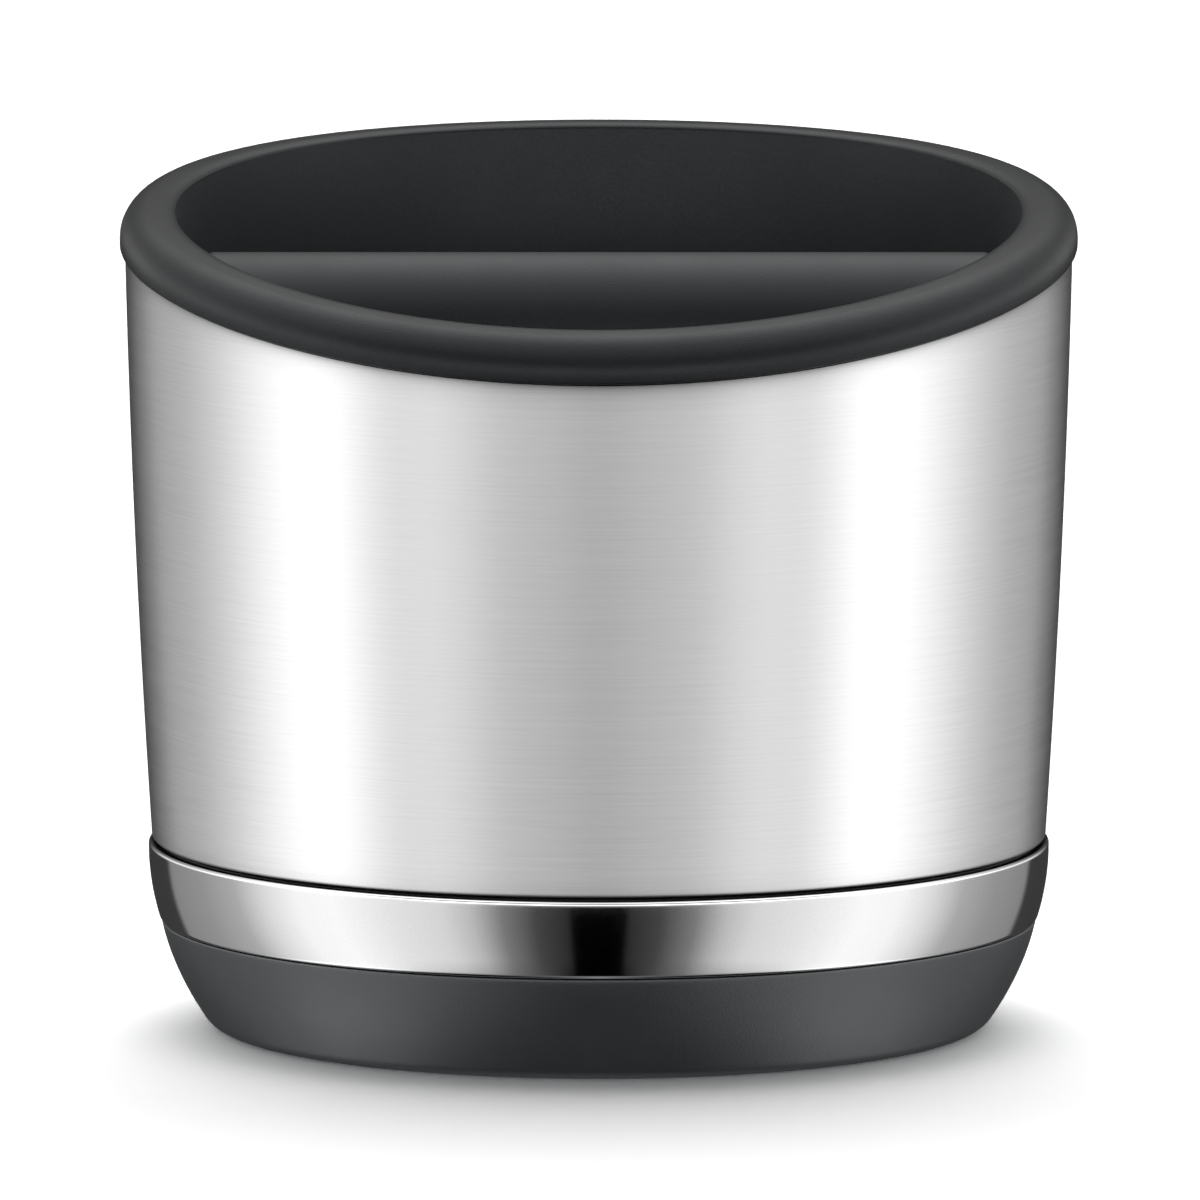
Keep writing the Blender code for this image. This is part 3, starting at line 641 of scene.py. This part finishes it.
def base_piece():
    """The soft base. Its top edge closes against the ring."""
    edge_z = RING_FOOT_Z - BOOT_EDGE_ROUND
    edge_r = boot_radius(edge_z) - BOOT_EDGE_ROUND
    lean = math.atan((boot_radius(BOOT_FOOT_ROUND) - boot_radius(0)) / BOOT_FOOT_ROUND)
    round_top = BOOT_FOOT_ROUND * (1 - math.sin(lean))
    round_r = boot_radius(round_top) - BOOT_FOOT_ROUND * math.cos(lean)
    sole_round_r = SOLE_INNER_R + SOLE_EDGE_ROUND
    profile = [(BOOT_TOP_R - BOOT_WALL, RING_FOOT_Z)]
    profile += arc(edge_r, edge_z, BOOT_EDGE_ROUND, 90, 0, SMALL_ARC_STEPS)
    profile += [(boot_radius(z), z) for z in heights(edge_z, round_top)[1:-1]]
    profile += arc(round_r, BOOT_FOOT_ROUND, BOOT_FOOT_ROUND, -math.degrees(lean), -90)
    profile += arc(sole_round_r, SOLE_EDGE_ROUND, SOLE_EDGE_ROUND, -90, -180, EDGE_ARC_STEPS)
    profile += [(SOLE_INNER_R, BOOT_SOLE)]
    profile += [(boot_radius(z) - BOOT_WALL, z) for z in heights(BOOT_SOLE, RING_FOOT_Z)[:-1]]
    return turned("rubber_base", profile)


def bin_piece():
    corner_r = LINER_FOOT_R - LINER_CORNER_ROUND
    outer_round = LINER_CORNER_ROUND + LINER_WALL
    levels = heights(LINER_FOOT_Z, LEAN_FOOT) + heights(LEAN_FOOT, LEAN_FULL)[1:] + [FLANGE_UNDER]
    profile = [(0, LINER_FLOOR_Z)]
    profile += arc(corner_r, LINER_FOOT_Z, LINER_CORNER_ROUND, -90, 0)[:-1]
    profile += [(liner_radius(z), z) for z in levels + [NOSE_Z]]
    profile += [(LINER_FLANGE_R, NOSE_Z), (LINER_FLANGE_R, FLANGE_UNDER)]
    profile += [(liner_radius(z) + LINER_WALL, z) for z in reversed(levels)]
    profile += arc(corner_r, LINER_FOOT_Z, outer_round, 0, -90)[1:]
    profile += [(0, LINER_UNDER_Z)]
    return turned("bin_bowl", profile, leans=True, radius_at=liner_radius)


def prism(name, outline, half_width):
    """A solid between two copies of an outline in the XZ plane."""
    made = bmesh.new()
    sides = [[made.verts.new((x, y, z)) for x, z in outline] for y in (-half_width, half_width)]
    for side in sides:
        made.faces.new(side)
    for i in range(len(outline)):
        made.faces.new((sides[0][i - 1], sides[0][i], sides[1][i], sides[1][i - 1]))
    bmesh.ops.recalc_face_normals(made, faces=made.faces)
    mesh = bpy.data.meshes.new(name)
    made.to_mesh(mesh)
    made.free()
    return placed(name, mesh)


def settled(item):
    """Keeps what the modifiers make as the piece's own mesh."""
    bpy.context.view_layer.update()
    graph = bpy.context.evaluated_depsgraph_get()
    mesh = bpy.data.meshes.new_from_object(item.evaluated_get(graph))
    item.modifiers.clear()
    item.data = mesh


def combine(item, tool, operation="DIFFERENCE"):
    """Cuts a helper out of a piece, or joins it on, and keeps the new edges crisp."""
    step = item.modifiers.new("combine", "BOOLEAN")
    step.operation = operation
    step.solver = "EXACT"
    step.object = tool
    settled(item)
    item.data.shade_smooth()
    item.data.set_sharp_from_angle(angle=math.radians(SHARP_ANGLE))
    bpy.data.objects.remove(tool, do_unlink=True)


def soften(item, width):
    edge = item.modifiers.new("edge", "BEVEL")
    edge.width = width
    edge.segments = EDGE_SEGMENTS
    edge.limit_method = "ANGLE"
    edge.angle_limit = math.radians(SHARP_ANGLE)
    edge.harden_normals = True
    settled(item)


def cradle_piece(side):
    """A bracket on the bin's wall, with rounded edges and a slot for the bearing's plate."""
    sign = 1 if side == "right" else -1
    ends = [abs(corner.x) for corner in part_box(f"bush_{side}")]
    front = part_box("bar_sleeve")[1].x + GAP
    reach = max(ends) + GAP
    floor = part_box(f"bush_{side}")[0].z - GAP
    top = BAR_AXIS_Z + CRADLE_RISE
    under = floor - CRADLE_FLOOR
    foot = under - CRADLE_GUSSET
    slot_half = PLATE_HALF_WIDTH + GAP
    half = slot_half + CRADLE_ARM
    backs = [math.sqrt((liner_radius(z) + LINER_WALL - GAP) ** 2 - half**2) for z in (foot, top)]
    outline = [(front, top), (front, under), (backs[0], foot), (backs[1], top)]
    body = prism(f"cradle_{side}", [(sign * x, z) for x, z in outline], half)
    ahead, above = front - OVERRUN, top + OVERRUN
    opening = [(ahead, floor), (reach, floor), (reach, above), (ahead, above)]
    combine(body, prism("slot", [(sign * x, z) for x, z in opening], slot_half))
    soften(body, CRADLE_EDGE)
    return body


def carrier_piece():
    """The plastic bowl inside the base, seen from below in the middle of the sole."""
    collar_r = RING_FOOT_R - RING_WALL - GAP
    neck_r = RING_FOOT_R - RING_FLANGE_WIDTH - GAP
    flange_over = RING_FOOT_Z + RING_WALL + GAP
    foot_r = SOLE_INNER_R - GAP
    bowl = [(boot_radius(z) - BOOT_WALL - GAP, z) for z in heights(RING_FOOT_Z, BOOT_SOLE + GAP)]
    bowl_inner = [(r - CARRIER_WALL, z) for r, z in reversed(bowl) if z > CARRIER_TOP_Z]
    edge = (foot_r - CARRIER_EDGE, CARRIER_RECESS + CARRIER_EDGE)
    profile = [(0, CARRIER_TOP_Z), (bowl_inner[0][0], CARRIER_TOP_Z)] + bowl_inner
    profile += [
        (collar_r - CARRIER_WALL, flange_over + GAP),
        (collar_r - CARRIER_WALL, COLLAR_TOP_Z),
        (collar_r, COLLAR_TOP_Z),
        (collar_r, flange_over),
        (neck_r, flange_over),
        (neck_r, RING_FOOT_Z),
    ]
    profile += bowl + [(foot_r, BOOT_SOLE + GAP)]
    profile += arc(*edge, CARRIER_EDGE, 0, -90, EDGE_ARC_STEPS)
    profile += [(0, CARRIER_RECESS)]
    bowl_piece = turned("carrier_bowl", profile)
    for number in SCREW_NUMBERS:
        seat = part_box(f"carrier_screw_{number}")[0].z + SCREW_HEAD_HEIGHT
        boss = post(number, CARRIER_BOSS_R, CARRIER_RECESS + GAP, CARRIER_BOSS_TOP)
        combine(bowl_piece, boss, "UNION")
        combine(bowl_piece, post(number, SCREW_HEAD_R + GAP, -OVERRUN, seat + GAP))
        combine(bowl_piece, post(number, SCREW_SHANK_R + GAP, 0, CARRIER_BOSS_TOP + OVERRUN))
    return bowl_piece


def screw_place(number):
    low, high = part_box(f"carrier_screw_{number}")
    return ((low.x + high.x) / 2, (low.y + high.y) / 2, 0)


def post(number, radius, low, high):
    """An upright round helper on a base screw's axis."""
    item = turned("post", [(0, high), (radius, high), (radius, low), (0, low)], SMALL_STEPS)
    item.location = screw_place(number)
    return item


def base_screw(number):
    """A pan-head screw, driven up from below."""
    low, high = (corner.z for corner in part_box(f"carrier_screw_{number}"))
    seat = low + SCREW_HEAD_HEIGHT
    profile = [(0, high), (SCREW_SHANK_R, high - SCREW_TIP), (SCREW_SHANK_R, seat), (SCREW_HEAD_R, seat)]
    round_r = SCREW_HEAD_R - SCREW_HEAD_ROUND
    profile += arc(round_r, low + SCREW_HEAD_ROUND, SCREW_HEAD_ROUND, 0, -90, SMALL_ARC_STEPS)
    screw = turned(f"base_screw_{number}", profile + [(0, low)], SMALL_STEPS)
    under, over = low - OVERRUN, low + CROSS_DEPTH
    for across, half in ((CROSS_REACH, CROSS_WIDTH / 2), (CROSS_WIDTH / 2, CROSS_REACH)):
        slot = [(-across, under), (across, under), (across, over), (-across, over)]
        combine(screw, prism("slot", slot, half))
    soften(screw, CROSS_EDGE)
    screw.location = screw_place(number)
    return screw


def bar_end(item, side):
    """Sets a piece that was made for the bar's right end on the axis, at either end."""
    if side == "left":
        item.data.transform(Matrix.Rotation(math.radians(180), 4, "Z"))
    item.name = f"{item.name}_{side}"
    item.location.z = BAR_AXIS_Z
    return item


def bearing_piece(side):
    """A hub for the sleeve's end, with a plate that drops into the cradle and a bore for the rod."""
    low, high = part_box("bush_right")
    corner = PLATE_HALF_WIDTH - PLATE_CORNER
    foot = PLATE_CORNER - PLATE_DROP
    outline = arc(0, 0, PLATE_HALF_WIDTH, 0, 180, SMALL_STEPS)
    outline += arc(-corner, foot, PLATE_CORNER, 180, 270, SMALL_ARC_STEPS)
    outline += arc(corner, foot, PLATE_CORNER, 270, 360, SMALL_ARC_STEPS)
    plate = prism("bearing", outline, PLATE_THICK / 2)
    plate.data.transform(Matrix.Rotation(math.radians(90), 4, "Z"))
    middle = high.x - PLATE_THICK / 2
    plate.data.transform(Matrix.Translation((middle, 0, 0)))
    hub = [(0, middle), (HUB_R, middle), (HUB_R, low.x), (0, low.x)]
    combine(plate, turned("hub", hub, SMALL_STEPS, along="X"), "UNION")
    bore_r = JOURNAL_R + GAP
    seat_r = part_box("end_washer_right")[1].y + GAP
    seat_x = high.x - HUB_SEAT_DEPTH
    bore = [(0, high.x + OVERRUN), (seat_r, high.x + OVERRUN), (seat_r, seat_x), (bore_r, seat_x)]
    bore += [(bore_r, low.x - OVERRUN), (0, low.x - OVERRUN)]
    combine(plate, turned("bore", bore, SMALL_STEPS, along="X"))
    soften(plate, PLATE_EDGE)
    return bar_end(plate, side)


def washer_piece(side):
    low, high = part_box("end_washer_right")
    hole_r = END_SCREW_R + GAP
    profile = [(hole_r, high.x), (high.y, high.x), (high.y, low.x), (hole_r, low.x)]
    washer = turned("axle_washer", profile, SMALL_STEPS, along="X")
    soften(washer, WASHER_EDGE)
    return bar_end(washer, side)


def end_screw_piece(side):
    """A button-head screw with a six-sided socket."""
    low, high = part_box("end_screw_right")
    head_r, face = high.y, high.x
    seat = face - END_SCREW_HEAD_HEIGHT
    edge = (head_r - END_SCREW_EDGE, face - END_SCREW_EDGE)
    profile = [(0, face)] + arc(*edge, END_SCREW_EDGE, 90, 0, SMALL_ARC_STEPS)
    profile += [(head_r, seat), (END_SCREW_R, seat), (END_SCREW_R, low.x), (0, low.x)]
    screw = turned("axle_screw", profile, SMALL_STEPS, along="X")
    floor = face - SOCKET_DEPTH
    socket = [(0, face + OVERRUN), (SOCKET_R, face + OVERRUN), (SOCKET_R, floor), (0, floor)]
    combine(screw, turned("socket", socket, SOCKET_SIDES, along="X"))
    soften(screw, SOCKET_EDGE)
    return bar_end(screw, side)


def rod_piece():
    """The bar's steel core, with a thinner journal at each end and a bore for the screw."""
    end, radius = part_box("bar_rod")[1].xy
    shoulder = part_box("bush_right")[0].x - GAP
    hole_r = END_SCREW_R + GAP
    hole_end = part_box("end_screw_right")[0].x - GAP
    upper = [(0, hole_end), (hole_r, hole_end), (hole_r, end), (JOURNAL_R, end), (JOURNAL_R, shoulder)]
    upper += [(radius, shoulder)]
    profile = upper + [(r, -along) for r, along in reversed(upper)]
    rod = turned("core_rod", profile, SMALL_STEPS, along="X")
    rod.location.z = BAR_AXIS_Z
    return rod


def bar_piece():
    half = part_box("bar_sleeve")[1].x
    bore_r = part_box("bar_rod")[1].y + GAP
    seat_r = PLATE_HALF_WIDTH
    shoulder = half - BAR_SEAT_DEPTH
    outer = arc(BAR_R - BAR_END_ROUND, half - BAR_END_ROUND, BAR_END_ROUND, 90, 0)
    upper = [(bore_r, shoulder), (seat_r, shoulder), (seat_r, half)] + outer
    profile = upper + [(radius, -along) for radius, along in reversed(upper)]
    grip = turned("bar_grip", profile, steps=BAR_STEPS, along="X")
    grip.location.z = BAR_AXIS_Z
    return grip


def make_camera():
    data = bpy.data.cameras.new("camera")
    data.lens = CAMERA_LENS
    data.sensor_width = CAMERA_SENSOR
    data.shift_x = CAMERA_SHIFT_X
    camera = bpy.data.objects.new("camera", data)
    camera.location = CAMERA_PLACE
    camera.rotation_euler = (math.radians(CAMERA_TILT), 0, 0)
    bpy.context.scene.collection.objects.link(camera)
    bpy.context.scene.camera = camera


def ring_light(tree, azimuth, stops):
    """The studio's brightness round the object, as shares of its peak."""
    made = node(tree, "ShaderNodeValToRGB", {"Fac": azimuth})
    elements = made.color_ramp.elements
    elements.remove(elements[1])
    for i, (angle, level) in enumerate(stops):
        stop = elements[0] if i == 0 else elements.new(angle / 180)
        stop.position = angle / 180
        stop.color = grey(level / STUDIO_PEAK)
    return made.outputs["Color"]


def rising(tree, elevation, low, high):
    """A share that grows from one height above the horizon to another."""
    limits = {"From Min": math.radians(low), "From Max": math.radians(high)}
    return node(tree, "ShaderNodeMapRange", {"Value": elevation, **limits}).outputs["Result"]


def blended(tree, factor, first, second):
    """A colour between two others, each of them a socket or a plain colour."""
    made = node(tree, "ShaderNodeMixRGB", {"Fac": factor, "Color1": first, "Color2": second})
    return made.outputs["Color"]


def make_world():
    """Soft light for plain surfaces, a studio for gloss to reflect, and white behind it all."""
    world = bpy.data.worlds.new("studio")
    bpy.context.scene.world = world
    world.use_nodes = True
    world.cycles.sampling_method = "NONE"
    tree = world.node_tree
    background = tree.nodes["Background"]
    direction = node(tree, "ShaderNodeTexCoord").outputs["Generated"]
    parts = node(tree, "ShaderNodeSeparateXYZ", {"Vector": direction}).outputs
    ahead = worked(tree, "MULTIPLY", parts["Y"], -1.0)
    turn = worked(tree, "ABSOLUTE", worked(tree, "ARCTAN2", parts["X"], ahead))
    azimuth = worked(tree, "DIVIDE", turn, math.pi)
    elevation = worked(tree, "ARCSINE", parts["Z"])
    low, stops = STUDIO[0]
    studio = ring_light(tree, azimuth, stops)
    for high, stops in STUDIO[1:]:
        row = ring_light(tree, azimuth, stops)
        studio = blended(tree, rising(tree, elevation, low, high), studio, row)
        low = high
    above = rising(tree, elevation, *SOFT_LIGHT_RISE)
    under = grey(UNDER_LIGHT / STUDIO_PEAK)
    soft = blended(tree, above, under, ring_light(tree, azimuth, SOFT_LIGHT))
    rays = node(tree, "ShaderNodeLightPath").outputs
    shares = blended(tree, rays["Is Glossy Ray"], soft, studio)
    bright = node(tree, "ShaderNodeVectorMath", {0: shares}, operation="SCALE")
    bright.inputs["Scale"].default_value = STUDIO_PEAK
    seen = blended(tree, rays["Is Camera Ray"], bright.outputs["Vector"], grey(1))
    tree.links.new(seen, background.inputs["Color"])


def make_lamp():
    """One wide soft light overhead and a little behind."""
    data = bpy.data.lights.new("top_light", "AREA")
    data.shape = "RECTANGLE"
    data.size, data.size_y = TOP_LIGHT_SIZE
    data.energy = TOP_LIGHT_POWER
    lamp = bpy.data.objects.new("top_light", data)
    lamp.location = TOP_LIGHT_PLACE
    lamp.rotation_euler = (-Vector(TOP_LIGHT_PLACE)).to_track_quat("-Z", "Y").to_euler()
    bpy.context.scene.collection.objects.link(lamp)


def make_floor():
    """A pale floor that keeps the object's shadow.

    Reflections and views from below look through it. So does the soft light under the base.
    """
    corners = [
        (-FLOOR_HALF_WIDTH, FLOOR_FRONT, 0),
        (FLOOR_HALF_WIDTH, FLOOR_FRONT, 0),
        (FLOOR_HALF_WIDTH, FLOOR_BACK, 0),
        (-FLOOR_HALF_WIDTH, FLOOR_BACK, 0),
    ]
    mesh = bpy.data.meshes.new("floor")
    mesh.from_pydata(corners, [], [(0, 1, 2, 3)])
    floor = bpy.data.objects.new("floor", mesh)
    bpy.context.scene.collection.objects.link(floor)
    look = bpy.data.materials.new("floor")
    look.use_nodes = True
    tree = look.node_tree
    tree.nodes.clear()
    rays = node(tree, "ShaderNodeLightPath").outputs
    colour = blended(tree, rays["Is Camera Ray"], grey(FLOOR_COLOUR), grey(FLOOR_SEEN_COLOUR))
    matt = node(tree, "ShaderNodeBsdfDiffuse", {"Color": colour}).outputs["BSDF"]
    clear = node(tree, "ShaderNodeBsdfTransparent").outputs["BSDF"]
    below = node(tree, "ShaderNodeNewGeometry").outputs["Backfacing"]
    place = node(tree, "ShaderNodeTexCoord").outputs["Object"]
    reach = node(tree, "ShaderNodeVectorMath", {0: place}, operation="LENGTH").outputs["Value"]
    covered = worked(tree, "LESS_THAN", reach, BOOT_FOOT_R)
    hidden = worked(tree, "MULTIPLY", rays["Is Diffuse Ray"], covered)
    unseen = worked(tree, "MAXIMUM", rays["Is Glossy Ray"], below)
    through = worked(tree, "MAXIMUM", unseen, hidden)
    mixed = node(tree, "ShaderNodeMixShader", {0: through, 1: matt, 2: clear})
    node(tree, "ShaderNodeOutputMaterial", {"Surface": mixed.outputs["Shader"]})
    mesh.materials.append(look)


make_camera()
make_world()
make_lamp()
make_floor()

RIM_RUBBER = moulded(
    "rim_rubber_fine",
    (0.0170, 0.0180, 0.0190),
    roughness=0.31,
    grain=RUBBER_GRAIN,
    depth=0.00004,
    gloss=0.19,
)
BAR_RUBBER = moulded(
    "bar_rubber_fine",
    (0.0230, 0.0240, 0.0250),
    roughness=0.40,
    grain=RUBBER_GRAIN,
    depth=0.00003,
    gloss=0.25,
)
BASE_RUBBER = moulded(
    "base_rubber_fine",
    (0.0250, 0.0262, 0.0280),
    roughness=0.38,
    grain=RUBBER_GRAIN,
    depth=0.00003,
    gloss=1.0,
)
BLACK_RUBBER = moulded(
    "black_rubber_fine", (0.012, 0.012, 0.013), roughness=0.60, grain=2600.0, depth=0.00002
)
BLACK_PLASTIC = moulded(
    "black_plastic_fine", (0.020, 0.020, 0.022), roughness=0.45, grain=1800.0, depth=0.00002
)
LINER_PLASTIC = moulded(
    "liner_plastic_fine",
    (0.0240, 0.0252, 0.0266),
    roughness=0.45,
    grain=2200.0,
    depth=0.00002,
    gloss=0.40,
)
BRUSHED_STEEL = brushed(
    "brushed_steel_fine",
    (0.70, 0.70, 0.70),
    roughness=0.37,
    axis="Z",
    along=60.0,
    across=3600.0,
    depth=0.000004,
    anisotropy=1.0,
)
ROD_STEEL = brushed(
    "rod_steel_fine",
    (0.60, 0.60, 0.59),
    roughness=0.28,
    axis="X",
    along=300.0,
    across=3000.0,
    depth=0.000004,
    anisotropy=0.0,
)
POLISHED_STEEL = polished("polished_steel_fine", (0.76, 0.76, 0.76), roughness=0.08, grain=5200.0)
SCREW_STEEL = polished("screw_steel_fine", (0.55, 0.55, 0.55), roughness=0.25, grain=1500.0)

dress(rim_piece(), RIM_RUBBER, "rim_rubber", "bin", "rim_bumper")
dress(sleeve_piece(), BRUSHED_STEEL, "brushed_steel", "bin", "steel_shell")
dress(gasket_piece(), BLACK_RUBBER, "black_rubber", "bin", "shell_gasket")
dress(ring_piece(), POLISHED_STEEL, "polished_steel", "bin", "trim_ring")
dress(base_piece(), BASE_RUBBER, "base_rubber", "bin", "base_boot")
dress(carrier_piece(), BLACK_PLASTIC, "black_plastic", "bin", "base_carrier")
for number in SCREW_NUMBERS:
    dress(base_screw(number), SCREW_STEEL, "screw_steel", "bin", f"carrier_screw_{number}")
for piece in (bin_piece(), cradle_piece("right"), cradle_piece("left")):
    dress(piece, LINER_PLASTIC, "liner_plastic", "bin", "inner_liner")
for side in ("right", "left"):
    dress(bearing_piece(side), BLACK_PLASTIC, "black_plastic", "bar_bearings", f"bush_{side}")
    dress(washer_piece(side), SCREW_STEEL, "screw_steel", "knock_bar", f"end_washer_{side}")
    dress(end_screw_piece(side), SCREW_STEEL, "screw_steel", "knock_bar", f"end_screw_{side}")
dress(rod_piece(), ROD_STEEL, "rod_steel", "knock_bar", "bar_rod")
dress(bar_piece(), BAR_RUBBER, "bar_rubber", "knock_bar", "bar_sleeve")

bpy.context.scene.view_settings.view_transform = "Standard"
